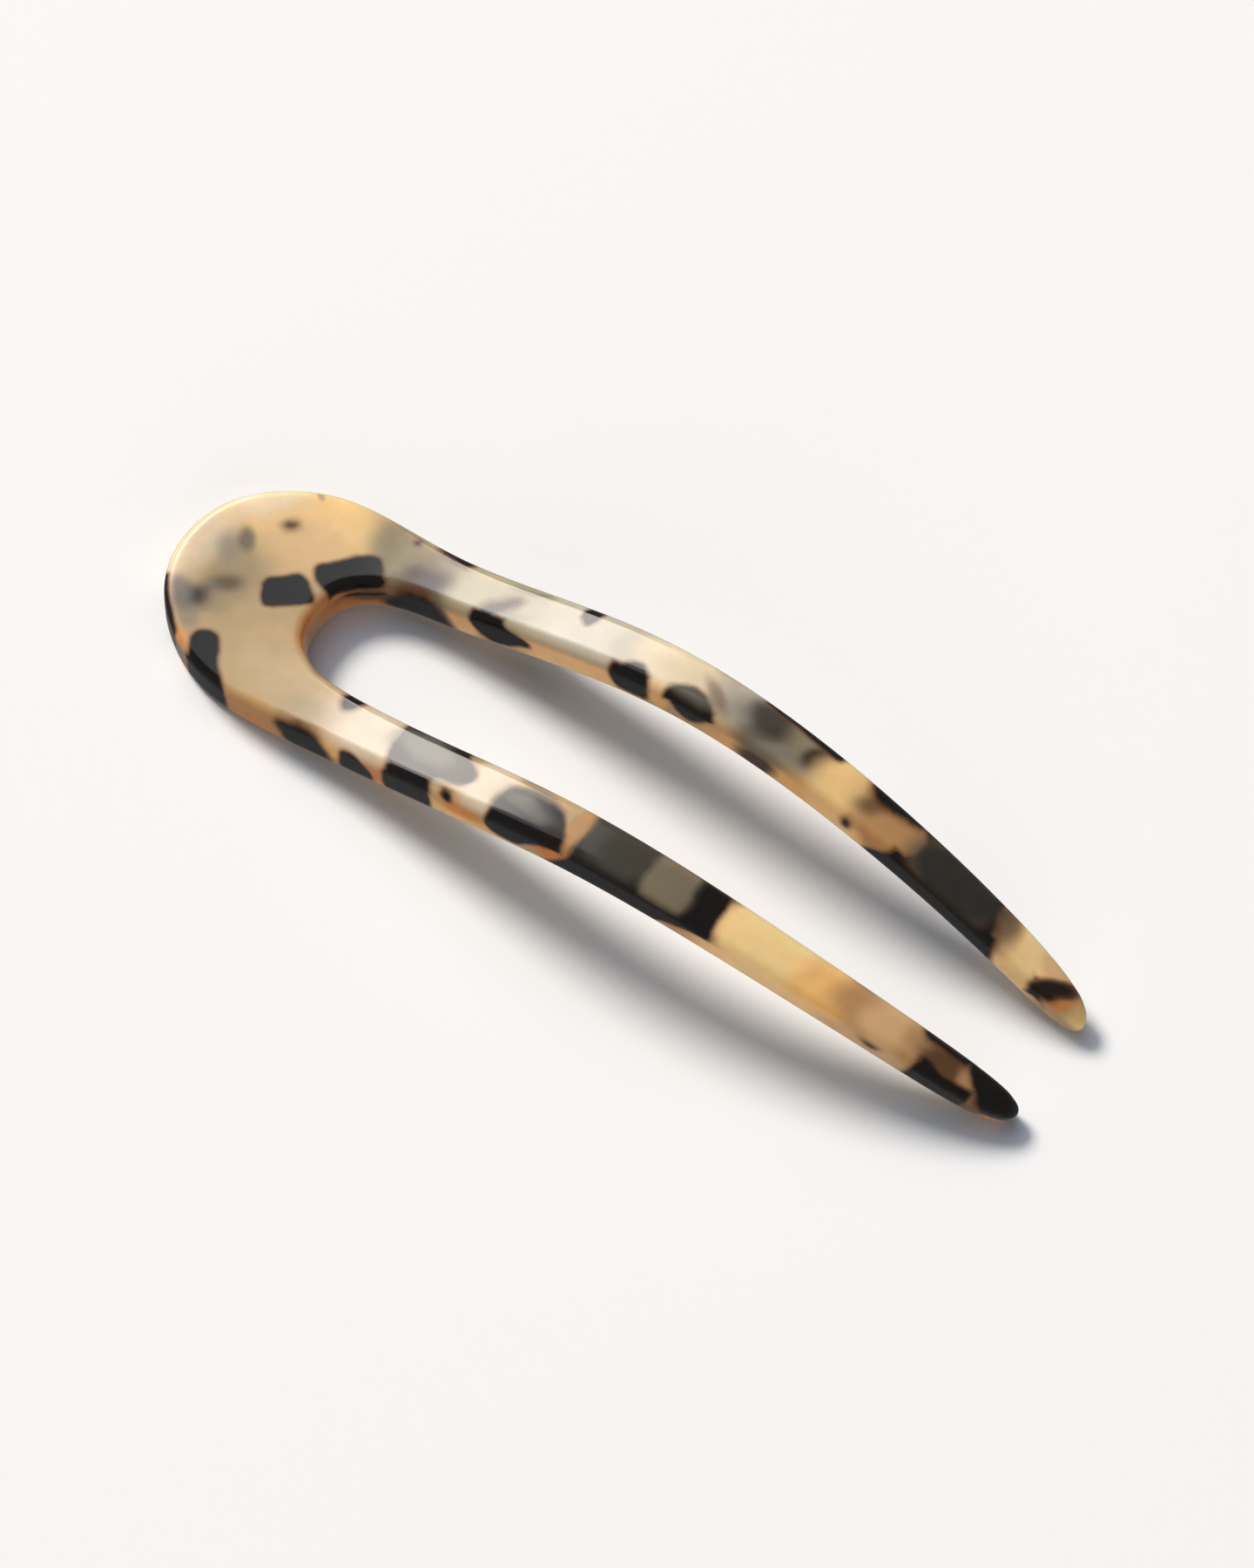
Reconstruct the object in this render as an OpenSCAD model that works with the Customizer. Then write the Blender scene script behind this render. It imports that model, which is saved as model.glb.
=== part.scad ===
// French hair pin: one U-shaped band of acetate with a broad crown and two prongs that taper to
// blunt rounded tips. It is cut from a flat sheet and bent, so its middle stands clear of the
// surface it lies on, while the crown's back edge and both tips rest there.
// +X runs from the crown to the tips, +Z is up, and the origin lies on the surface, halfway along.

/* [Overall] */
// Length from the crown's back edge to the ends of the tips
pin_length = 110; // [98:1:124]
// Width over the crown
crown_width = 27.3; // [25:0.1:30]

/* [Crown] */
// Depth of the crown's band, from its back edge to the closed end of the gap
crown_depth = 17.5; // [14:0.1:19]
// Width of the gap where it rounds off inside the crown
arch_width = 13.3; // [11:0.1:14.5]

/* [Prongs] */
// Distance between the middles of the prongs where they stand widest apart
prong_spacing = 21.7; // [19:0.1:23]
// Width of a prong next to the crown
prong_width = 6; // [5:0.1:7]
// Distance between the middles of the tips
tip_spacing = 12.2; // [9:0.1:15]
// Width of a prong just before its tip rounds off
tip_width = 4.5; // [3.5:0.1:5.5]

/* [Sheet] */
// Thickness of the sheet at the crown
sheet_thickness = 4.9; // [3.5:0.1:5.5]
// Thickness of the sheet at the tips
tip_thickness = 3.9; // [3:0.1:4.5]
// Radius of the polished edges
edge_radius = 1.2; // [0.5:0.1:1.5]
// Length over which the thickness rounds off at a tip
tip_rounding = 2.5; // [1.5:0.1:4]

/* [Bend] */
// Rise of the bend's top above a flat pin
bend_height = 10.4; // [4:0.1:14]

/* [Hidden] */

// Rings of points from the middle of the crown to the end of one prong
half_rings = 80;
// Steps round each polished edge
edge_steps = 5;
// Above 1, the rings draw closer together towards the tips
ring_crowding = 1.35;
// Colour of the sheet's light parts
sheet_colour = [0.91, 0.76, 0.58];

// Control rows of the crown's outer edge: distance from the back edge as a share of crown_width,
// and distance from the middle line as a share of half crown_width
crown_back = 0;
crown_across = 1;
crown_rows = [
    [0.000, 0.000],
    [0.000, 0.388],
    [0.217, 0.844],
    [0.521, 1.042]
];

// Control rows of the gap's closed end: distance from that end and distance from the middle line,
// both as shares of half arch_width
arch_along = 0;
arch_across = 1;
arch_rows = [
    [0.000, 0.000],
    [0.000, 0.466],
    [0.376, 0.827],
    [0.842, 1.000]
];

// Control rows of a prong: place as a share of pin_length, spread from 0 at tip_spacing to 1 at
// prong_spacing, and taper from 0 at prong_width to 1 at tip_width
prong_along = 0;
prong_spread = 1;
prong_taper = 2;
prong_rows = [
    [0.252, 0.819, 0.00],
    [0.431, 1.062, -0.11],
    [0.672, 0.901, 0.33],
    [0.889, 0.473, 0.87],
    [1.000, 0.087, 1.30]
];

// Control values of the bend at even knots, as shares of bend_height
bend_rows = [0.013, -0.004, -0.036, 1.195, 0.852, 0.305, -0.092];

// Knot i of a cubic spline with n control values, which starts and ends on its outer ones
function knot(i, n) = max(0, min(1, (i - 3) / (n - 3)));
function blend(i, k, u, n) = knot(i + k, n) > knot(i, n) ? (u - knot(i, n)) / (knot(i + k, n) - knot(i, n)) : 0;
function weight(i, k, u, n) =
    k == 0
        ? (knot(i, n) <= u && u < knot(i + 1, n) ? 1 : 0)
        : blend(i, k, u, n) * weight(i, k - 1, u, n) + (1 - blend(i + 1, k, u, n)) * weight(i + 1, k - 1, u, n);

// Value of that spline at u, from 0 to 1
function spline(controls, place) =
    let (n = len(controls), u = min(place, 0.999999), i = floor(u * (n - 3)))
    weight(i, 3, u, n) * controls[i]
        + weight(i + 1, 3, u, n) * controls[i + 1]
        + weight(i + 2, 3, u, n) * controls[i + 2]
        + weight(i + 3, 3, u, n) * controls[i + 3];

// Controls of the two edges in the flat sheet, from the middle of the crown to the end of a tip
back = -pin_length / 2;
tip_end = [pin_length / 2, tip_spacing / 2];
function prong_middle(row) =
    [back + row[prong_along] * pin_length, (tip_spacing + row[prong_spread] * (prong_spacing - tip_spacing)) / 2];
function prong_half(row) = [0, (prong_width + row[prong_taper] * (tip_width - prong_width)) / 2];
outer_edge = concat(
    [for (row = crown_rows) [back + row[crown_back] * crown_width, row[crown_across] * crown_width / 2]],
    [for (row = prong_rows) prong_middle(row) + prong_half(row)],
    [tip_end]
);
inner_edge = concat(
    [for (row = arch_rows) [back + crown_depth, 0] + [row[arch_along], row[arch_across]] * arch_width / 2],
    [for (row = prong_rows) prong_middle(row) - prong_half(row)],
    [tip_end]
);

// Share of the length at x, half the thickness there, and the height of the sheet's middle
function along(x) = max(0, min(1, (x - back) / pin_length));
function mix(a, b, t) = a + (b - a) * t;
function tip_round(x) = sqrt(1 - max(0, 1 - (pin_length / 2 - x) / tip_rounding) ^ 2);
function half_sheet(x) = mix(sheet_thickness, tip_thickness, along(x) ^ 2) / 2 * tip_round(x);
function middle(x) = mix(sheet_thickness, tip_thickness, along(x)) / 2 + bend_height * spline(bend_rows, along(x));

// Where the bend takes a point of the flat sheet that lies h above the sheet's middle
function slope(x) = (middle(x + 0.05) - middle(x - 0.05)) / 0.1;
function bent(x, y, h) = let (angle = atan(slope(x))) [x - h * sin(angle), y, middle(x) + h * cos(angle)];

// Ring of points round the band, as a rectangle with rounded corners between the two edges
corner_across = [1, -1, -1, 1];
corner_up = [1, 1, -1, -1];
function ring(u, side) =
    let (
        outer = spline(outer_edge, u),
        inner = spline(inner_edge, u),
        centre = (outer + inner) / 2,
        wide = norm(outer - inner) / 2,
        thick = half_sheet(centre.x),
        radius = min(edge_radius, 0.9 * wide, 0.9 * thick)
    )
    [
        for (corner = [0 : 3], step = [0 : edge_steps])
        let (
            turn = 90 * (corner + step / edge_steps),
            w = corner_across[corner] * (wide - radius) + radius * cos(turn),
            h = corner_up[corner] * (thick - radius) + radius * sin(turn),
            flat = centre + (outer - inner) / (2 * wide) * w
        )
        bent(flat.x, side * flat.y, h)
    ];

// Rings from one tip round the crown to the other, with a single point at each end
function place(i) = 1 - (1 - i / half_rings) ^ ring_crowding;
rings = concat(
    [for (i = [half_rings - 1 : -1 : 1]) ring(place(i), 1)],
    [for (i = [0 : half_rings - 1]) ring(place(i), -1)]
);
ring_size = 4 * (edge_steps + 1);
first_tip = bent(tip_end.x, tip_end.y, 0);
last_tip = bent(tip_end.x, -tip_end.y, 0);
points = concat([first_tip], [for (r = rings) each r], [last_tip]);
lowest = min([for (p = points) p.z]);

// Number of point j of ring i in the list above
function at(i, j) = 1 + i * ring_size + j % ring_size;
faces = concat(
    [for (j = [0 : ring_size - 1]) [0, at(0, j), at(0, j + 1)]],
    [
        for (i = [0 : len(rings) - 2], j = [0 : ring_size - 1], half = [0, 1])
        half == 0 ? [at(i, j), at(i + 1, j), at(i + 1, j + 1)] : [at(i, j), at(i + 1, j + 1), at(i, j + 1)]
    ],
    [for (j = [0 : ring_size - 1]) [len(points) - 1, at(len(rings) - 1, j + 1), at(len(rings) - 1, j)]]
);

// The pin, lifted or lowered so that its lowest point meets the surface it lies on
module hair_pin() {
    color(sheet_colour)
        translate([0, 0, -lowest])
            polyhedron(points = points, faces = faces, convexity = 4);
}

hair_pin();
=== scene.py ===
"""French hair pin in polished tortoiseshell acetate, lying on a pale floor in soft studio light.

The pin is one bent sheet. Three guide curves give its plan and its bend, and a geometry node tree
wraps a closed skin round them. Dark chips and soft clouds are charted in the flat sheet, in
millimetres, and travel with the skin as attributes that the acetate's material reads.
"""
import math

import bpy
import numpy as np
from bpy.props import FloatProperty, FloatVectorProperty, PointerProperty
from mathutils import Matrix, Vector, noise


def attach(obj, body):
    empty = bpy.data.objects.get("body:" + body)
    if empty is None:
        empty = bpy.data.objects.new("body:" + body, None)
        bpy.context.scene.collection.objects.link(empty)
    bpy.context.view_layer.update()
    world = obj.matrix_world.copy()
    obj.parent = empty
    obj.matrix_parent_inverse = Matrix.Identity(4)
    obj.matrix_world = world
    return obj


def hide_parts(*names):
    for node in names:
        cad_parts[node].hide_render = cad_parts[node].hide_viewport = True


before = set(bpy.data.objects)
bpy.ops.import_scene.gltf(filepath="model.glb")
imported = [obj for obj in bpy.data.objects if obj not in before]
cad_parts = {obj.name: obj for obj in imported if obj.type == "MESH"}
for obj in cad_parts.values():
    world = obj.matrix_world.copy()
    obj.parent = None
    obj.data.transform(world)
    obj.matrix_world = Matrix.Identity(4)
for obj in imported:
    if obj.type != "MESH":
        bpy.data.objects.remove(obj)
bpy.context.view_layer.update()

bl_info = {
    "name": "French Hair Pin",
    "version": (1, 0, 0),
    "blender": (4, 5, 0),
    "location": "3D View > Sidebar > Hair Pin",
    "description": "Builds a bent tortoiseshell hair pin and the studio that it lies in",
    "category": "Add Mesh",
}

MM = 0.001

# Control rows of the flat sheet's edges, from the middle of the crown to a tip.
# Crown's outer edge: (distance from the back as a share of the crown's width,
# distance from the middle line as a share of half that width)
CROWN_ROWS = ((0.0, 0.0), (0.0, 0.388), (0.217, 0.844), (0.521, 1.042))
# Closed end of the gap: (distance from that end, distance from the middle line),
# both as shares of half the arch's width
ARCH_ROWS = ((0.0, 0.0), (0.0, 0.466), (0.376, 0.827), (0.842, 1.0))
# A prong: (place as a share of the length, spread from 0 at the tips' spacing to 1 at the widest
# spacing, taper from 0 at the prong's width to 1 at the tip's width)
PRONG_ROWS = (
    (0.252, 0.819, 0.0),
    (0.431, 1.062, -0.11),
    (0.672, 0.901, 0.33),
    (0.889, 0.473, 0.87),
    (1.0, 0.087, 1.3),
)
# The bend: rise of the sheet's middle at the control places, as shares of the bend's height
BEND_ROWS = (0.013, -0.004, -0.036, 1.195, 0.852, 0.305, -0.092)

# Points along each edge are this many for each gap between two of its controls
EDGE_RESOLUTION = 49
BEND_RESOLUTION = 200

# Points round the skin: steps on each rounded corner, then on the face that follows it
CORNER_STEPS = 5
FACE_STEPS = (44, 13, 14, 13)
FACE_CORNERS = ((1, 1), (-1, 1), (-1, -1), (1, -1))

# What each of the skin's points carries for the tree
SKIN_COLUMNS = {
    "edge_point": "INT", "side": "FLOAT", "corner_across": "FLOAT", "corner_up": "FLOAT",
    "turn_across": "FLOAT", "turn_up": "FLOAT",
}


def linear_colour(hex_colour):
    """Turn an sRGB hex colour such as "#e9cfa6" into linear red, green and blue."""
    levels = [int(hex_colour[i:i + 2], 16) / 255 for i in (1, 3, 5)]
    return tuple(c / 12.92 if c <= 0.04045 else ((c + 0.055) / 1.055) ** 2.4 for c in levels)


def add_node(tree, known, name, kind, settings, feeds):
    """Add a node, set it up and feed its inputs, and keep its outputs under its name.

    settings is a dict of properties, or the node's operation alone. A feed that is a known name
    stands for that output or value, and any other feed is the input's own value.
    """
    node = tree.nodes.new(kind)
    node.label = name
    for key, value in ({"operation": settings} if isinstance(settings, str) else settings).items():
        setattr(node, key, value)
    for socket, feed in (feeds if isinstance(feeds, dict) else dict(enumerate(feeds))).items():
        source = known.get(feed, feed) if isinstance(feed, str) else feed
        if isinstance(source, bpy.types.NodeSocket):
            tree.links.new(source, node.inputs[socket])
        else:
            node.inputs[socket].default_value = source
    for output in reversed([out for out in node.outputs if out.enabled]):
        known[f"{name}.{output.name}"] = output
        known[name] = output


# Dark chips that show on the top face: (how deep they reach below it, how soft their rims are
# against a crisp one's, corners in the sheet)
TOP_CHIPS = (
    # Crown
    (1.9, 1.0, (
        (-44.5, -0.4), (-41.5, 2.4), (-40.5, 2.2), (-38.2, 0.5), (-38.6, -0.3), (-42.0, -2.9),
        (-42.9, -2.9))),
    (0.9, 1.1, (
        (-40.8, 4.2), (-39.7, 5.1), (-38.6, 6.4), (-37.6, 7.6), (-36.2, 8.5), (-35.2, 8.6),
        (-34.4, 7.7), (-33.3, 6.3), (-33.0, 4.0), (-36.0, 1.0), (-37.3, 2.1), (-39.1, 2.3),
        (-40.4, 3.3))),
    (6.0, 1.1, (
        (-46.6, -9.8), (-45.7, -8.8), (-44.3, -8.6), (-43.3, -9.7), (-42.3, -11.6), (-40.6, -12.9),
        (-39.6, -14.0), (-42.0, -16.0), (-46.0, -15.0), (-45.4, -12.2), (-46.3, -10.9))),
    (6.0, 0.8, (
        (-53.3, -5.4), (-52.9, -6.0), (-51.5, -7.8), (-49.4, -9.7), (-48.2, -10.7), (-48.3, -12.5),
        (-52.0, -13.5), (-58.0, -9.0), (-58.0, -5.4))),
    (0.8, 2.4, ((-46.6, 6.4), (-46.3, 6.9), (-45.5, 7.2), (-45.9, 6.5))),
    # Upper prong
    (0.8, 1.4, ((-33.5, 12.1), (-33.2, 12.6), (-32.8, 12.4), (-33.0, 12.0))),
    (1.0, 1.6, ((-30.4, 12.7), (-26.0, 12.1), (-25.6, 14.0), (-31.0, 14.0))),
    (1.2, 2.2, (
        (-22.0, 8.2), (-20.8, 9.6), (-19.2, 10.9), (-18.3, 11.2), (-18.0, 10.6), (-18.9, 9.6),
        (-19.8, 8.6), (-20.4, 7.4), (-22.0, 7.0))),
    (1.2, 1.2, ((-22.2, 7.9), (-19.4, 7.9), (-18.8, 6.6), (-22.0, 6.6))),
    (1.5, 1.0, (
        (-11.5, 12.3), (-10.8, 13.6), (-10.6, 14.6), (-9.1, 14.6), (-9.3, 12.4), (-9.9, 11.0),
        (-10.5, 11.4))),
    (1.2, 1.2, (
        (-4.3, 7.9), (-3.6, 9.2), (-2.4, 9.7), (-1.3, 9.3), (-0.5, 8.2), (-0.2, 6.8), (-4.6, 6.8))),
    (1.2, 1.2, (
        (1.5, 7.6), (1.7, 8.6), (2.8, 9.5), (4.4, 10.0), (6.0, 9.5), (7.2, 8.5), (7.6, 7.4), (7.0, 6.6),
        (1.6, 6.8))),
    (3.2, 1.1, ((10.6, 12.8), (14.8, 12.3), (20.6, 11.6), (21.0, 14.4), (10.4, 14.8))),
    (3.8, 2.0, (
        (24.4, 11.8), (25.2, 10.8), (27.2, 10.6), (29.5, 10.9), (31.4, 11.0), (32.0, 13.2),
        (24.6, 14.2))),
    (6.0, 1.8, (
        (30.3, 5.4), (30.8, 7.0), (32.2, 8.8), (32.0, 10.4), (31.2, 11.4), (31.5, 14.0), (42.6, 12.6),
        (41.8, 10.4), (41.8, 8.6), (42.6, 7.0), (42.6, 4.6))),
    (2.0, 1.3, (
        (48.2, 4.9), (48.4, 5.6), (49.3, 6.5), (50.4, 7.3), (51.3, 7.7), (52.0, 7.7), (52.0, 7.2),
        (51.2, 6.3), (50.2, 5.5), (49.1, 4.9), (48.5, 4.7))),
    # Lower prong
    (1.5, 1.5, (
        (-28.0, -7.6), (-27.2, -9.2), (-26.3, -9.2), (-25.5, -8.2), (-25.2, -7.2), (-27.2, -6.8))),
    (1.2, 1.1, (
        (-19.4, -7.2), (-19.2, -9.0), (-19.2, -10.4), (-18.9, -11.8), (-18.4, -12.9), (-13.0, -12.9),
        (-12.2, -12.2), (-9.9, -12.1), (-8.8, -11.5), (-8.5, -10.4), (-9.4, -9.5), (-10.6, -9.0),
        (-10.9, -8.0), (-11.2, -7.2))),
    (1.3, 1.2, ((-18.4, -12.6), (-13.0, -12.6), (-12.6, -13.4), (-12.4, -14.8), (-18.2, -14.8))),
    (1.2, 1.4, (
        (-5.1, -11.2), (-4.9, -9.7), (-2.0, -9.5), (1.0, -9.6), (2.3, -10.3), (3.1, -11.7),
        (3.6, -13.4), (3.4, -15.0), (-5.0, -15.0), (-5.2, -12.6))),
    (1.2, 1.1, (
        (4.5, -6.8), (4.9, -8.0), (4.9, -12.0), (4.9, -15.0), (21.2, -14.0), (20.7, -11.6),
        (20.6, -9.0), (20.3, -6.8))),
    (1.2, 1.6, ((44.3, -8.4), (44.6, -11.9), (50.2, -10.6), (48.4, -9.4), (46.8, -9.0))),
    (4.0, 1.5, ((43.2, -6.9), (48.6, -6.6), (48.6, -4.6), (43.0, -4.6))),
    (2.2, 1.4, (
        (48.0, -4.4), (48.3, -6.2), (49.6, -7.5), (51.0, -8.7), (52.6, -9.4), (55.6, -7.6),
        (55.8, -4.4), (52.0, -4.2))),
)

# Dark chips on the walls: (edge, prong, how far they reach in from it, how soft their rims are,
# corners as place along the sheet and depth below its top)
WALL_CHIPS = (
    # Lower prong's outer wall
    ("outer", -1, 0.8, 1.2, (
        (-46.2, 0.5), (-40.5, 0.5), (-39.8, 2.0), (-39.8, 4.4), (-44.0, 4.6), (-45.2, 3.0))),
    ("outer", -1, 0.8, 2.2, (
        (-33.2, 0.8), (-30.0, 0.3), (-27.6, 0.6), (-26.6, 3.0), (-26.6, 5.5), (-31.5, 5.5),
        (-32.6, 2.6))),
    ("outer", -1, 0.8, 1.0, (
        (-24.4, 0.7), (-22.4, 0.7), (-21.6, 1.6), (-20.6, 3.0), (-22.5, 5.5), (-25.4, 5.5),
        (-25.2, 3.5))),
    ("outer", -1, 0.8, 1.0, (
        (-18.4, 0.2), (-13.0, 0.2), (-12.9, 1.4), (-13.1, 2.5), (-13.6, 4.8), (-19.2, 4.8),
        (-19.4, 2.6))),
    ("outer", -1, 0.7, 1.2, ((-11.0, 0.1), (-9.8, 0.1), (-9.7, 0.9), (-10.3, 1.2), (-11.0, 0.8))),
    ("outer", -1, 0.8, 1.0, (
        (-5.1, 0.2), (-5.2, -1.0), (3.9, -1.0), (2.0, 0.9), (-0.2, 2.0), (-2.0, 3.3), (-4.9, 3.2),
        (-6.0, 2.0))),
    ("outer", -1, 0.8, 1.0, (
        (5.2, -1.0), (21.0, -1.0), (20.1, 1.0), (17.6, 2.1), (15.2, 3.0), (14.2, 5.5), (0.4, 5.5),
        (0.8, 4.2), (2.6, 3.0), (4.7, 1.0))),
    ("outer", -1, 0.8, 1.2, ((44.3, -1.0), (50.2, -1.0), (50.3, 2.0), (50.2, 5.0), (43.9, 5.0))),
    ("outer", -1, 0.8, 1.2, ((52.3, -1.0), (55.5, -1.0), (54.6, 0.8), (53.0, 0.9))),
    # Arch and upper prong's inner wall
    ("inner", 1, 0.8, 1.0, ((-37.6, -0.8), (-33.3, -0.8), (-33.2, 0.9), (-34.5, 1.2), (-37.0, 1.1))),
    ("inner", 1, 0.5, 0.6, (
        (-36.6, 1.5), (-34.8, 2.0), (-33.0, 1.7), (-33.0, 2.1), (-34.8, 2.5), (-36.6, 2.0))),
    ("inner", 1, 0.8, 2.6, (
        (-31.6, 1.2), (-30.2, 0.6), (-27.6, 0.6), (-26.8, 1.6), (-26.2, 2.7), (-25.6, 3.9),
        (-25.0, 5.4), (-31.4, 5.4), (-33.6, 3.2))),
    ("inner", 1, 0.8, 1.0, (
        (-22.2, -1.0), (-18.9, -1.0), (-18.4, 0.6), (-17.2, 1.0), (-15.6, 1.6), (-15.2, 2.4),
        (-16.8, 2.8), (-18.4, 3.4), (-20.2, 3.9), (-21.6, 3.2), (-22.8, 1.4))),
    ("inner", 1, 0.8, 1.2, (
        (-5.0, 0.2), (-4.6, -1.0), (-0.9, -1.0), (-0.5, 1.2), (-0.8, 3.3), (-4.6, 3.4), (-5.3, 2.0))),
    ("inner", 1, 0.8, 1.2, (
        (1.8, -1.0), (7.6, -1.0), (7.0, 1.0), (5.4, 2.6), (4.2, 3.0), (3.1, 2.3), (2.2, 0.9))),
    ("inner", 1, 0.8, 1.6, ((23.9, 0.8), (24.9, 0.8), (24.9, 2.0), (24.2, 2.3))),
    ("inner", 1, 0.8, 1.4, (
        (30.2, -1.0), (42.8, -1.0), (43.5, 1.2), (44.0, 3.0), (43.6, 5.0), (26.8, 5.0), (27.4, 2.9),
        (30.0, 0.6))),
    ("inner", 1, 0.8, 1.4, ((47.9, -1.0), (51.4, -1.0), (50.8, 0.8), (48.8, 0.7))),
    # Walls that face away
    ("outer", 1, 0.8, 1.2, ((-24.8, 1.6), (-22.6, 1.0), (-20.8, 2.4), (-21.6, 4.0), (-24.0, 4.0))),
    ("outer", 1, 0.8, 1.2, ((45.0, 1.2), (48.2, 0.8), (49.6, 2.2), (47.0, 3.2))),
    ("inner", -1, 0.8, 1.1, ((-30.5, 2.2), (-27.5, 1.4), (-24.8, 2.6), (-25.4, 5.5), (-30.0, 5.5))),
    ("inner", -1, 0.8, 1.2, (
        (6.0, -1.0), (20.5, -1.0), (19.5, 1.6), (16.0, 2.6), (10.0, 3.4), (5.6, 2.0))),
)

# Dark chips of the underside: (how far they reach up from it, how soft their rims are, corners in
# the sheet)
UNDER_CHIPS = (
    (1.0, 1.1, ((-50.0, 3.0), (-47.0, 5.6), (-44.5, 5.0), (-44.0, 2.0), (-46.5, 0.6), (-49.5, 1.0))),
    (0.9, 1.2, ((-46.5, -6.5), (-43.0, -4.8), (-40.8, -6.0), (-41.5, -8.4), (-45.0, -9.2))),
    (1.6, 1.2, ((-44.0, 9.5), (-40.0, 8.4), (-37.6, 10.0), (-37.0, 14.0), (-42.5, 14.5))),
    (1.0, 1.1, ((-34.0, -8.6), (-30.0, -8.0), (-28.0, -9.0), (-29.4, -10.6), (-33.4, -10.8))),
    (1.4, 1.2, (
        (-20.0, 8.6), (-15.5, 9.0), (-12.5, 10.6), (-13.5, 14.5), (-18.5, 14.5), (-19.5, 11.0))),
    (1.2, 1.2, ((-12.0, -7.4), (-8.0, -6.4), (-5.6, -8.0), (-7.0, -10.0), (-11.0, -9.8))),
    (2.6, 1.2, ((-3.0, 10.4), (1.0, 10.0), (4.4, 11.5), (4.0, 15.0), (-2.6, 15.0))),
    (1.0, 1.2, ((9.0, -9.4), (12.4, -8.8), (15.0, -9.8), (14.0, -11.4), (10.4, -11.6))),
    (1.0, 1.2, ((22.0, 9.6), (24.5, 11.2), (27.6, 10.4), (26.4, 9.0), (23.0, 8.8))),
    (2.0, 1.2, ((24.0, -9.4), (28.5, -8.8), (32.0, -7.8), (31.0, -6.0), (24.5, -6.5))),
    (1.2, 1.2, ((36.0, -8.4), (39.0, -9.2), (42.0, -8.2), (41.0, -6.4), (37.0, -6.2))),
)

# Colours of the acetate's light mass and of what lies sunk in it
SHADES = {
    "tan": "#bfa47b",
    "cream": "#e4d9bd",
    "straw": "#edcc90",
    "biscuit": "#dcb889",
    "honey": "#ffd79c",
    "amber": "#f3c67a",
    "peach": "#cdbba2",
    "bone": "#a69f84",
    "pearl": "#bdb6a6",
    "ivory": "#dfceaf",
    "olive": "#8a7e63",
    "khaki": "#9a8c6a",
    "putty": "#80755f",
    "stone": "#746d5e",
    "grey": "#7f7c70",
    "lilac": "#8d8780",
    "plum": "#4b423b",
    "copper": "#be9361",
    "brown": "#6c4a2c",
    "orange": "#d68a3e",
    "umber": "#3c2614",
    "soot": "#48443b",
}

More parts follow.
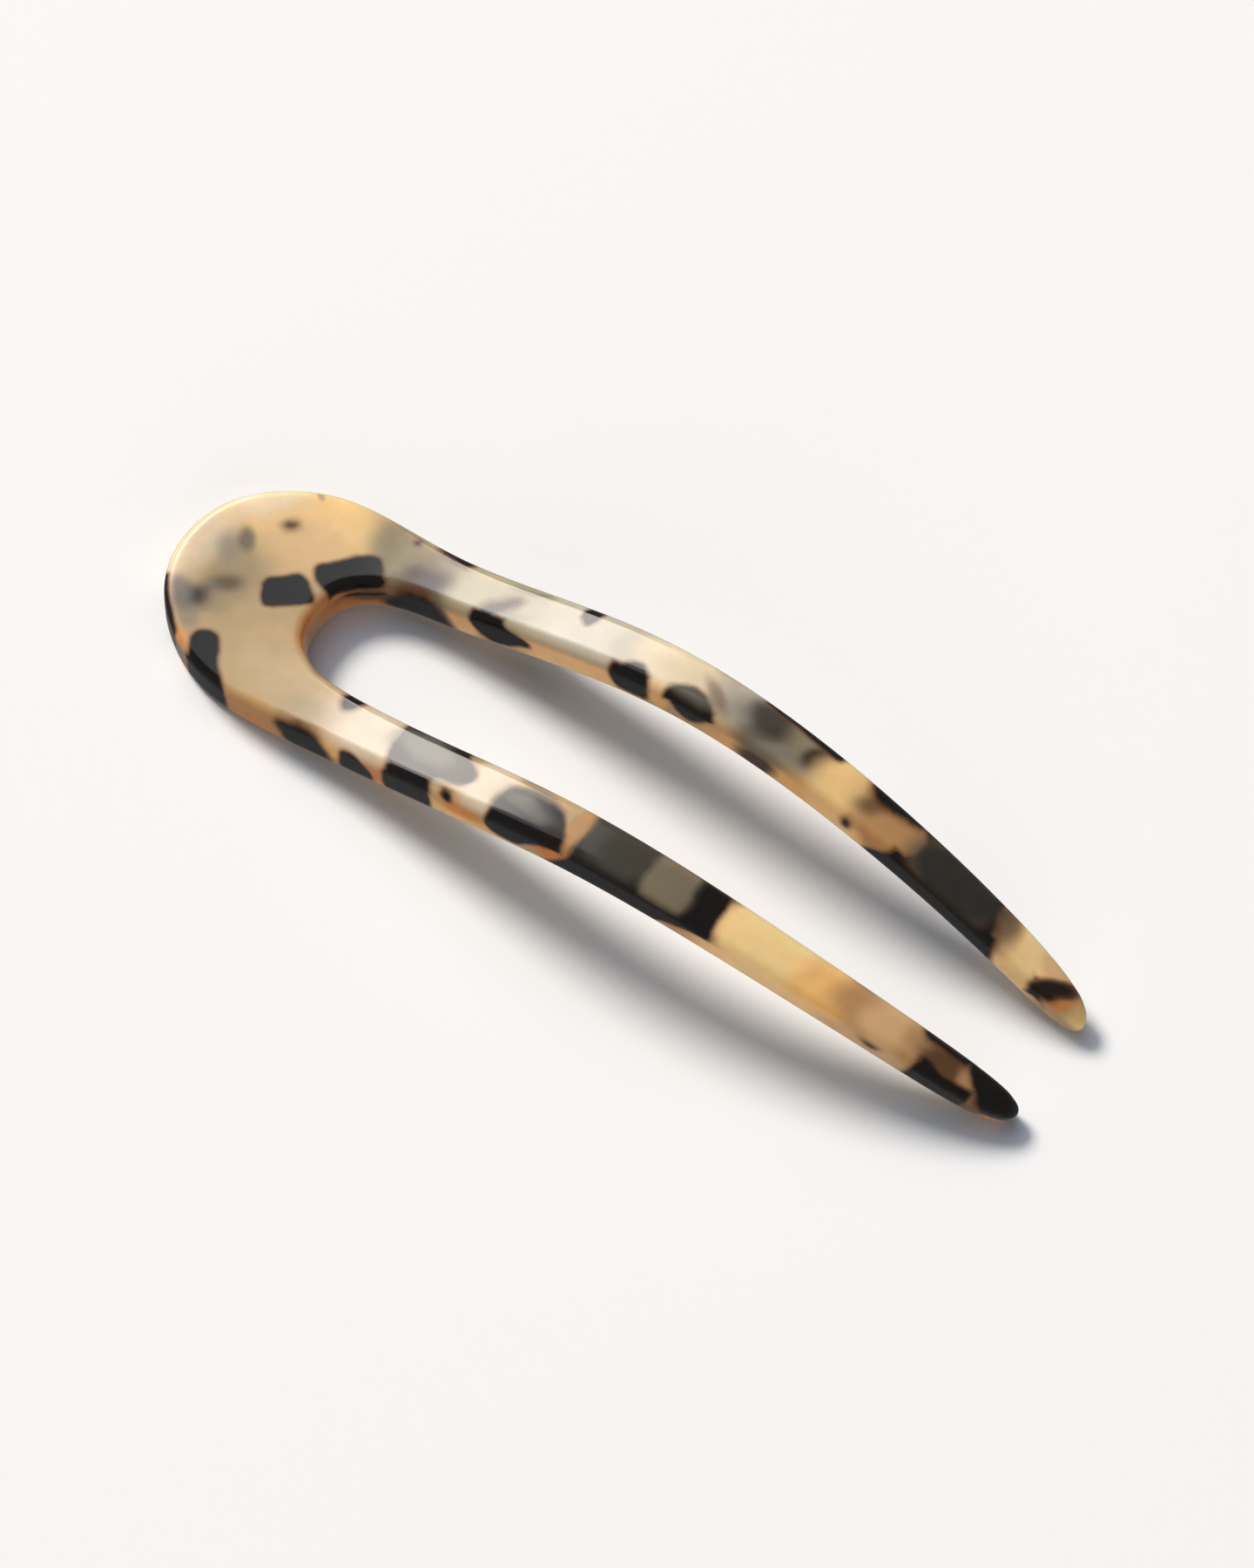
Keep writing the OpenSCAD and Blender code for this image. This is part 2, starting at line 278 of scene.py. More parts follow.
# Soft colours seen on the top face: (shade, strength, middle along and across, half sizes,
# turn in degrees, softness of the rim as a share of the half size)
TOP_CLOUDS = (
    # Crown: cream at the rim as painted glow, straw in the upper half, tan in the lower half
    # Painted light: this cream band stands for the glow of light through the crown's rounded rim
    ("cream", 0.75, (-54.0, 1.5), (3.2, 10.0), 0, 1.2),
    ("straw", 1.00, (-45.5, 9.0), (8.5, 5.2), 15, 1.0),
    # Painted light: cream along the rounded upper corner, the same glow through the rim
    ("cream", 0.80, (-50.5, 8.0), (4.4, 2.4), 42, 1.1),
    ("biscuit", 0.90, (-43.0, 5.0), (4.6, 3.6), 20, 1.2),
    ("khaki", 0.60, (-46.8, -0.8), (2.6, 2.6), 0, 1.5),
    ("lilac", 0.60, (-49.9, 0.6), (1.9, 1.1), -60, 1.4),
    ("stone", 0.90, (-48.9, 2.5), (1.5, 0.95), -50, 1.2),
    ("olive", 0.50, (-47.8, -4.4), (2.4, 2.6), 25, 1.2),
    ("umber", 0.62, (-47.4, -3.1), (1.7, 1.0), 35, 1.4),
    ("stone", 0.60, (-48.6, -4.4), (1.2, 0.8), 35, 1.4),
    ("plum", 1.00, (-49.4, -6.6), (1.8, 1.4), 35, 1.3),
    ("lilac", 0.85, (-51.0, -6.6), (1.8, 1.2), -55, 1.2),
    ("lilac", 0.60, (-48.6, -8.4), (1.9, 1.0), -40, 1.2),
    ("grey", 0.60, (-45.7, 11.5), (0.5, 0.4), 0, 1.0),
    ("ivory", 0.20, (-37.5, -9.0), (4.0, 2.4), 0, 1.3),

    # Upper neck: an olive haze, then a dark blur
    ("bone", 0.90, (-19.0, 10.5), (16.0, 6.0), 0, 0.5),
    ("olive", 0.90, (-35.0, 10.8), (2.3, 4.6), 32, 1.6),
    ("khaki", 0.70, (-33.0, 10.5), (3.0, 4.5), 20, 1.2),
    ("brown", 0.55, (-29.6, 10.0), (2.8, 2.4), 10, 1.2),
    ("umber", 1.00, (-29.3, 8.8), (2.6, 1.6), 10, 1.2),
    ("umber", 0.60, (-29.5, 7.4), (4.0, 0.9), 5, 1.2),

    # Upper prong's ridge, pale, with a thin grey line
    ("pearl", 0.85, (-8.0, 11.0), (7.5, 5.0), 0, 1.0),
    ("ivory", 1.00, (1.5, 11.5), (5.0, 3.6), 0, 1.0),
    ("grey", 0.80, (-17.6, 12.4), (2.4, 0.4), 6, 1.2),
    ("grey", 0.60, (-19.6, 8.6), (3.2, 0.6), 10, 1.2),

    # Upper prong's far half
    ("pearl", 0.90, (9.0, 11.4), (3.4, 3.0), 0, 1.0),
    # Painted highlight: a pale streak along the dark chip, shown through the veil at the same place
    ("stone", 1.00, (4.4, 8.9), (2.6, 0.8), -4, 0.6),
    ("grey", 0.90, (14.5, 10.4), (6.0, 3.0), 0, 0.9),
    ("brown", 0.60, (6.4, 10.4), (2.4, 0.7), -38, 1.2),
    ("umber", 0.45, (12.4, 9.4), (3.0, 1.0), 30, 1.2),
    ("soot", 0.95, (12.6, 11.2), (2.6, 1.9), 0, 0.8),
    ("khaki", 0.50, (16.0, 11.0), (1.8, 1.6), 20, 1.1),
    ("umber", 1.00, (19.0, 10.8), (2.2, 1.2), 40, 1.0),
    ("straw", 1.00, (22.3, 9.6), (3.2, 4.0), 0, 0.9),
    ("copper", 1.00, (28.4, 9.2), (4.2, 4.0), 0, 0.8),
    ("umber", 0.60, (25.8, 9.9), (2.0, 0.9), 35, 1.3),
    ("honey", 1.00, (46.5, 7.6), (4.4, 4.0), 0, 0.8),
    ("umber", 0.75, (42.9, 8.6), (1.6, 3.6), 12, 1.2),
    ("biscuit", 0.70, (49.4, 8.4), (1.6, 1.6), 0, 1.0),
    ("soot", 1.00, (36.8, 8.8), (5.6, 3.4), -6, 0.7),
    ("orange", 0.75, (51.4, 5.7), (2.2, 0.7), 36, 1.1),
    ("straw", 0.80, (54.2, 5.6), (1.3, 2.0), 0, 1.0),
    ("umber", 1.00, (50.5, 6.6), (2.6, 1.0), 36, 0.7),

    # Lower neck and prong
    ("khaki", 0.40, (-30.6, -11.4), (3.2, 1.8), 0, 1.2),
    ("peach", 1.00, (-22.0, -10.2), (5.4, 4.6), 0, 0.9),
    ("grey", 1.00, (-14.6, -10.2), (5.6, 2.6), -6, 0.5),
    ("peach", 1.00, (-6.6, -11.0), (2.6, 4.5), 0, 0.7),
    ("peach", 0.55, (-15.8, -12.0), (3.0, 0.7), 0, 1.2),
    ("stone", 1.00, (-1.6, -11.4), (3.8, 2.6), 0, 0.4),
    ("tan", 1.00, (2.4, -8.6), (2.2, 1.0), -20, 0.8),
    ("soot", 1.00, (8.6, -10.6), (5.2, 4.6), 0, 0.4),
    ("soot", 1.00, (19.4, -10.4), (3.4, 4.4), 0, 0.5),
    ("putty", 1.00, (14.9, -10.4), (2.6, 5.4), 0, 0.4),
    ("copper", 1.00, (3.8, -11.0), (0.9, 3.8), -8, 0.8),
    ("honey", 1.00, (28.0, -10.2), (7.6, 5.0), 0, 0.3),
    ("amber", 0.90, (33.0, -10.4), (3.4, 3.6), 0, 0.8),
    ("copper", 0.90, (36.6, -8.8), (2.8, 2.2), 0, 1.0),
    ("biscuit", 1.00, (40.2, -9.2), (3.0, 3.0), 0, 1.0),
    ("copper", 0.70, (43.2, -8.6), (1.4, 3.0), 0, 1.0),
    ("brown", 0.75, (39.3, -11.5), (0.9, 0.5), 0, 1.2),
    ("brown", 1.00, (46.4, -8.0), (2.6, 1.8), 8, 1.0),
    ("copper", 0.90, (49.4, -8.6), (2.0, 0.9), -50, 0.8),
)

# How far the mass shows through the dark chips of the top face, and in one row a painted highlight:
# (share, middle, half sizes, turn, softness)
VEILS = (
    (0.55, (-15.6, -9.6), (3.8, 1.5), -8, 1.0),
    (0.65, (-2.0, -10.9), (3.2, 0.9), -8, 1.3),
    (1.0, (8.4, -9.7), (5.4, 3.6), 0, 0.7),
    (1.0, (14.7, -10.2), (3.0, 4.0), 0, 0.4),
    (0.5, (36.4, 8.8), (5.2, 3.4), -6, 0.6),
    # Painted highlight: the pale streak along the upper prong's dark chip, over the stone cloud
    (0.6, (4.4, 9.0), (2.4, 0.6), -4, 1.2),
    (0.15, (50.4, 6.5), (1.9, 0.7), 36, 0.8),
)

# Soft colours on the walls: (edge, prong, shade, strength, place along the sheet and depth below its
# top, half sizes, softness)
WALL_CLOUDS = (
    # Thin dark lines along the far edges, painted shade where their rounding turns from the light
    ("outer", 1, "stone", 0.75, (6.0, 0.6), (44.0, 0.45), 0.8),
    ("outer", 1, "stone", 0.75, (-54.0, 0.7), (2.4, 0.45), 0.8),
    ("inner", -1, "stone", 0.65, (8.0, 0.6), (42.0, 0.45), 0.8),

    # Lower prong's outer wall
    ("outer", -1, "copper", 0.90, (-36.0, 3.0), (16.0, 2.8), 0.8),
    ("outer", -1, "grey", 0.80, (-48.8, 2.4), (3.4, 1.8), 0.8),
    ("outer", -1, "orange", 0.80, (-47.4, 0.3), (1.0, 0.6), 0.8),
    ("outer", -1, "copper", 0.90, (-36.2, 2.8), (4.4, 2.6), 0.8),
    ("outer", -1, "orange", 0.40, (-36.2, 3.4), (4.4, 1.6), 0.8),
    ("outer", -1, "amber", 0.80, (-25.7, 1.6), (1.5, 1.4), 0.8),
    ("outer", -1, "orange", 0.80, (-20.2, 2.2), (2.2, 2.6), 0.8),
    ("outer", -1, "amber", 0.80, (-9.0, 3.4), (4.4, 2.0), 0.8),
    ("outer", -1, "orange", 0.85, (-8.4, 1.8), (3.0, 1.2), 0.9),
    ("outer", -1, "orange", 1.00, (2.8, 1.6), (2.6, 1.8), 0.9),
    ("outer", -1, "copper", 0.80, (19.0, 3.0), (3.4, 1.6), 0.9),
    ("outer", -1, "honey", 1.00, (29.2, 2.4), (9.6, 2.8), 0.8),
    ("outer", -1, "biscuit", 0.90, (38.5, 2.6), (5.2, 2.8), 0.8),
    ("outer", -1, "umber", 1.00, (39.6, 1.0), (1.2, 1.2), 1.0),
    ("outer", -1, "brown", 0.85, (51.0, 2.4), (0.8, 3.0), 0.8),
    ("outer", -1, "orange", 0.85, (53.6, 2.2), (2.0, 1.4), 0.8),

    # Arch and upper prong's inner wall
    ("inner", 1, "copper", 0.90, (-30.0, 2.6), (9.0, 2.8), 0.8),
    ("inner", 1, "orange", 0.90, (-37.0, 2.8), (3.6, 2.4), 0.8),
    ("inner", 1, "brown", 0.90, (-34.8, 2.2), (2.2, 1.0), 0.8),
    ("inner", 1, "honey", 0.90, (-24.2, 2.2), (2.2, 2.6), 0.8),
    ("inner", 1, "umber", 0.95, (-28.4, 2.8), (2.7, 3.4), 0.8),
    ("inner", 1, "soot", 0.95, (-29.0, 0.5), (2.4, 1.3), 0.9),
    ("inner", 1, "honey", 0.90, (-10.0, 2.6), (7.0, 2.8), 0.8),
    ("inner", 1, "amber", 0.90, (0.6, 1.6), (1.4, 2.4), 0.8),
    ("inner", 1, "amber", 0.90, (18.0, 2.8), (12.0, 2.6), 0.8),
    ("inner", 1, "honey", 0.90, (22.6, 2.2), (3.0, 2.6), 0.8),
    ("inner", 1, "umber", 0.95, (13.1, 2.6), (2.4, 2.0), 0.8),
    ("inner", 1, "olive", 0.90, (13.1, 0.5), (2.8, 0.8), 0.9),
    ("inner", 1, "copper", 0.80, (28.4, 1.2), (2.0, 1.6), 0.9),
    ("inner", 1, "honey", 1.00, (46.4, 1.6), (2.8, 2.6), 0.8),
    ("inner", -1, "orange", 0.75, (-37.0, 2.6), (3.0, 2.8), 0.8),
    ("inner", -1, "olive", 0.50, (-33.0, 1.5), (1.6, 2.0), 0.8),
)


# Seed of the noise that makes outlines uneven. Without one the noise differs from run to run.
CHART_SEED = 12
# Unevenness of the chart, in mm: fine wanders of all outlines, as (how far, changes per mm), and one
# slow drift, which shifts the clouds by these shares of itself
WANDERS = ((0.08, 0.7), (0.02, 2.6))
DRIFT_PACE = 0.35
TOP_CLOUD_DRIFT = 0.4
WALL_CLOUD_DRIFT = 0.5
# Inside the sheet, from this depth on and down to that far below it, the drift also makes the top
# face's chips lean and end unevenly, by these shares for each mm
SUNK_FROM, MOST_SUNK = 0.5, 1.5
CHIP_LEAN = 0.6
CHIP_END_DRIFT = 1.2

# Where colours fade, as distances at which they are still full and gone, in mm: those of the top
# and the veils downwards, a wall's inwards from it, and from its prong's side over to the other's
TOP_FADE = (0.6, 1.6)
VEIL_FADE = (0.2, 0.867)
WALL_FADE = (0.5, 1.5)
SIDE_FADE = (-1.0, 1.0)

# A polygon's corners are cut off twice, by this much in mm, but by no more than a share of a side
CORNER_CUTS = (0.45, 0.2)
MOST_CUT = 0.3
# Depth inside a chip is worked out up to this far outside it, in mm, and further off it is OUTSIDE
RIM_REACH = 1.5
OUTSIDE = -9.0


def noise_at(places, pace):
    """Smooth noise vectors at the places, which change as fast as that per mm."""
    return np.array([noise.noise_vector(Vector(p) * pace) for p in places])


def faded(distance, full, gone):
    """1 up to one distance, 0 from the other on, and evenly less in between."""
    return np.clip((gone - distance) / (gone - full), 0, 1)


def rounded_off(corners, cut):
    """The same polygon with each corner cut off, no further along a side than that."""
    corners = np.array(corners, float)
    result = []
    for before, corner, after in zip(np.roll(corners, 1, axis=0), corners, np.roll(corners, -1, axis=0)):
        for other in (before, after):
            side = other - corner
            result.append(corner + side * min(cut / np.linalg.norm(side), MOST_CUT))
    return np.array(result)


def polygon_depth(place, corners):
    """Distance from each point to a polygon's outline, positive inside it."""
    for cut in CORNER_CUTS:
        corners = rounded_off(corners, cut)
    low, high = corners.min(axis=0) - RIM_REACH, corners.max(axis=0) + RIM_REACH
    near = np.all((place > low) & (place < high), axis=1)
    spot = place[near]
    nearest = np.full(len(spot), 1e9)
    inside = np.zeros(len(spot), bool)
    for a, b in zip(corners, np.roll(corners, -1, axis=0)):
        leg, reach = b - a, spot - a
        share = np.clip((reach @ leg) / (leg @ leg), 0, 1)
        nearest = np.minimum(nearest, np.linalg.norm(reach - share[:, None] * leg, axis=1))
        crosses = (a[1] > spot[:, 1]) != (b[1] > spot[:, 1])
        with np.errstate(divide="ignore", invalid="ignore"):
            at = a[0] + (spot[:, 1] - a[1]) * leg[0] / leg[1]
        inside ^= crosses & (spot[:, 0] < at)
    depth = np.full(len(place), OUTSIDE)
    depth[near] = np.where(inside, nearest, -nearest)
    return depth


def cloud_cover(place, middle, halves, turn, softness):
    """Cover of a soft ellipse at each point, from 0 outside it to 1 in its middle."""
    c, s = math.cos(math.radians(turn)), math.sin(math.radians(turn))
    along, across = (place - np.array(middle)).T
    far = np.hypot((along * c + across * s) / halves[0], (across * c - along * s) / halves[1])
    cover = np.clip((1 + softness / 2 - far) / softness, 0, 1)
    return cover * cover * (3 - 2 * cover)


def chart_sheet(sheet, insets):
    """Depth inside dark chips in mm, share of them that is veiled, and colour of the light mass.

    sheet holds points' places along and across the flat sheet and above its middle, and insets
    their distances from the outer edge, the inner edge and the top face, all in mm.
    """
    noise.seed_set(CHART_SEED)
    wander = sum(reach * noise_at(sheet, pace) for reach, pace in WANDERS)[:, :2]
    drift = noise_at(sheet, DRIFT_PACE)
    place = sheet[:, :2] + wander
    cloud_place = place + TOP_CLOUD_DRIFT * drift[:, :2]
    outer, inner, depth = insets.T
    rise = depth + 2 * sheet[:, 2]
    wall_place = np.stack([sheet[:, 0], depth], axis=1)
    wall_cloud_place = wall_place + WALL_CLOUD_DRIFT * drift[:, :2]

    sunk = np.clip(depth - SUNK_FROM, 0, MOST_SUNK)
    leaning = place + CHIP_LEAN * sunk[:, None] * drift[:, :2]
    uneven_depth = depth + CHIP_END_DRIFT * sunk * drift[:, 2]
    chip = np.full(len(sheet), OUTSIDE)
    for reach, softness, corners in TOP_CHIPS:
        inside = polygon_depth(leaning, corners) / softness
        chip = np.maximum(chip, np.minimum(inside, reach - uneven_depth))
    for reach, softness, corners in UNDER_CHIPS:
        chip = np.maximum(chip, np.minimum(polygon_depth(place, corners) / softness, reach - rise))
    for edge, side, reach, softness, corners in WALL_CHIPS:
        inset = np.where(sheet[:, 1] * side > 0, outer if edge == "outer" else inner, -OUTSIDE)
        inside = polygon_depth(wall_place + wander, corners) / softness
        chip = np.maximum(chip, np.minimum(inside, reach - inset))

    shades = {name: np.array(linear_colour(colour)) for name, colour in SHADES.items()}
    tint = np.tile(shades["tan"], (len(sheet), 1))
    for edge, side, shade, strength, middle, halves, softness in WALL_CLOUDS:
        cover = strength * cloud_cover(wall_cloud_place, middle, halves, 0, softness)
        cover *= faded(outer if edge == "outer" else inner, *WALL_FADE)
        cover *= faded(-side * sheet[:, 1], *SIDE_FADE)
        tint += cover[:, None] * (shades[shade] - tint)
    for shade, strength, middle, halves, turn, softness in TOP_CLOUDS:
        cover = cloud_cover(cloud_place, middle, halves, turn, softness)
        cover *= strength * faded(depth, *TOP_FADE)
        tint += cover[:, None] * (shades[shade] - tint)
    window = np.zeros(len(sheet))
    for share, middle, halves, turn, softness in VEILS:
        cover = cloud_cover(cloud_place, middle, halves, turn, softness)
        window = np.maximum(window, cover * share * faded(depth, *VEIL_FADE))
    return chip, window, tint


def length(name, size, description):
    """A property for a length, with its default in mm."""
    return FloatProperty(name=name, description=description, default=size * MM, unit="LENGTH")


class HairPinSizes(bpy.types.PropertyGroup):
    """Sizes of the flat sheet and of its bend."""
    pin_length: length("Pin Length", 110, "From the crown's back edge to the ends of the tips")
    crown_width: length("Crown Width", 27.3, "Width over the crown")
    crown_depth: length("Crown Depth", 17.5, "From the crown's back edge to the closed end of the gap")
    arch_width: length("Arch Width", 13.3, "Width of the gap where it rounds off inside the crown")
    prong_spacing: length(
        "Prong Spacing", 21.7, "Between the middles of the prongs where they stand widest apart")
    prong_width: length("Prong Width", 6, "Width of a prong next to the crown")
    tip_spacing: length("Tip Spacing", 12.2, "Between the middles of the tips")
    tip_width: length("Tip Width", 4.5, "Width of a prong just before its tip rounds off")
    sheet_thickness: length("Sheet Thickness", 4.9, "Thickness of the sheet at the crown")
    tip_thickness: length("Tip Thickness", 3.9, "Thickness of the sheet at the tips")
    edge_radius: length("Edge Radius", 1.2, "Radius of the polished edges")
    tip_rounding: length("Tip Rounding", 2.5, "Length over which the thickness rounds off at a tip")
    bend_height: length("Bend Height", 10.4, "Rise of the bend's top above a flat pin")


class HairPinLooks(bpy.types.PropertyGroup):
    """Colours of the acetate and of the floor."""
    chip_colour: FloatVectorProperty(
        name="Chips", description="Colour of the dark chips", subtype="COLOR",
        default=linear_colour("#0f0c0a"))
    rim_colour: FloatVectorProperty(
        name="Chip Rims", description="Colour of a chip's thin rim, where it feathers into the light mass",
        subtype="COLOR", default=linear_colour("#6b3f22"))
    floor_colour: FloatVectorProperty(
        name="Floor", description="Colour of the studio floor", subtype="COLOR",
        default=linear_colour("#f6f5f3"))


def guide_curve(name, controls, resolution):
    """A cubic curve that starts and ends on its outer controls, for the tree to read."""
    data = bpy.data.curves.new(name, "CURVE")
    data.dimensions = "3D"
    spline = data.splines.new("NURBS")
    spline.points.add(len(controls) - 1)
    for point, place in zip(spline.points, controls):
        point.co = (*place, 1)
    spline.order_u = 4
    spline.use_endpoint_u = True
    spline.resolution_u = resolution
    guide = bpy.data.objects.new(name, data)
    bpy.context.scene.collection.objects.link(guide)
    return guide


def edge_controls(sizes):
    """Controls of the outer and the inner edge of the flat sheet, from the crown to a tip."""
    back = -sizes.pin_length / 2
    spread = sizes.prong_spacing - sizes.tip_spacing
    taper = sizes.tip_width - sizes.prong_width
    outer = [(back + a * sizes.crown_width, b * sizes.crown_width / 2, 0) for a, b in CROWN_ROWS]
    inner = [(back + sizes.crown_depth + a * sizes.arch_width / 2, b * sizes.arch_width / 2, 0)
             for a, b in ARCH_ROWS]
    for along, wide, slim in PRONG_ROWS:
        middle = (sizes.tip_spacing + wide * spread) / 2
        half = (sizes.prong_width + slim * taper) / 2
        outer.append((back + along * sizes.pin_length, middle + half, 0))
        inner.append((back + along * sizes.pin_length, middle - half, 0))
    tip = (sizes.pin_length / 2, sizes.tip_spacing / 2, 0)
    return outer + [tip], inner + [tip]


def bend_controls(sizes):
    """Controls of the sheet's middle line, seen from the side, evenly paced along the length."""
    spans = len(BEND_ROWS) - 3
    knots = [min(max(i - 3, 0), spans) / spans for i in range(len(BEND_ROWS) + 4)]
    controls = []
    for i, rise in enumerate(BEND_ROWS):
        along = sum(knots[i + 1:i + 4]) / 3
        thick = sizes.sheet_thickness + (sizes.tip_thickness - sizes.sheet_thickness) * along
        controls.append(((along - 0.5) * sizes.pin_length, 0, thick / 2 + sizes.bend_height * rise))
    return controls


def skin_template():
    """Corner and turn of each point round the skin, as rows that every ring shares.

    A point lies at the middle of its corner's rounding, or between two of them on a face, and
    stands off from there by the edge radius in the direction of its turn.
    """
    rows = []
    for k, steps in enumerate(FACE_STEPS):
        here, there = np.array(FACE_CORNERS[k]), np.array(FACE_CORNERS[(k + 1) % 4])
        for i in range(CORNER_STEPS):
            angle = math.radians(90 * (k + i / CORNER_STEPS))
            rows.append((*here, math.cos(angle), math.sin(angle)))
        angle = math.radians(90 * (k + 1))
        for i in range(steps):
            rows.append((*(here + (there - here) * i / steps), math.cos(angle), math.sin(angle)))
    return np.array(rows, float)


def closed_skin(edge_points):
    """A closed mesh with its rings in order from one tip round the crown to the other.

    Its points carry what the tree needs to place them: the edge point that their ring belongs to,
    the prong's side, and the corner and turn from the template.
    """
    template = skin_template()
    round_count = len(template)
    rings = [(i, 1) for i in range(edge_points - 2, 0, -1)] + [(i, -1) for i in range(edge_points - 1)]
    first_pole, last_pole = len(rings) * round_count, len(rings) * round_count + 1
    faces = []
    for i in range(len(rings) - 1):
        for j in range(round_count):
            a, b = i * round_count + j, i * round_count + (j + 1) % round_count
            faces.append((a, a + round_count, b + round_count, b))
    for j in range(round_count):
        k, last = (j + 1) % round_count, (len(rings) - 1) * round_count
        faces.append((first_pole, j, k))
        faces.append((last_pole, last + k, last + j))
    mesh = bpy.data.meshes.new("hair_pin_skin")
    mesh.from_pydata(np.zeros((last_pole + 1, 3)).tolist(), [], faces)
    carried = np.hstack([np.repeat(rings, round_count, axis=0), np.tile(template, (len(rings), 1))])
    poles = [(edge_points - 1, side, 0, 0, 0, 0) for side in (1, -1)]
    for (name, kind), values in zip(SKIN_COLUMNS.items(), np.vstack([carried, poles]).T):
        values = values.astype(int if kind == "INT" else float)
        mesh.attributes.new(name, kind, "POINT").data.foreach_set("value", values)
    return mesh


MATHS = "ShaderNodeMath"
VECTORS = "ShaderNodeVectorMath"
SPLIT = "ShaderNodeSeparateXYZ"
CARRIED = "GeometryNodeInputNamedAttribute"
STORE = "GeometryNodeStoreNamedAttribute"
GUIDE = "GeometryNodeObjectInfo"
GUIDE_POINTS = "GeometryNodeCurveToPoints"
SAMPLE = "GeometryNodeSampleIndex"
FLOATS = {"data_type": "FLOAT"}
WHOLES = {"data_type": "INT"}
TRIPLES = {"data_type": "FLOAT_VECTOR"}

BENT_SHEET_INPUTS = (
    ("Skin", "NodeSocketGeometry"),
    ("Outer Edge", "NodeSocketObject"),
    ("Inner Edge", "NodeSocketObject"),
    ("Middle Line", "NodeSocketObject"),
    ("Pin Length", "NodeSocketFloat"),
    ("Sheet Thickness", "NodeSocketFloat"),
    ("Tip Thickness", "NodeSocketFloat"),
    ("Edge Radius", "NodeSocketFloat"),
    ("Tip Rounding", "NodeSocketFloat"),
    ("Acetate", "NodeSocketMaterial"),
)

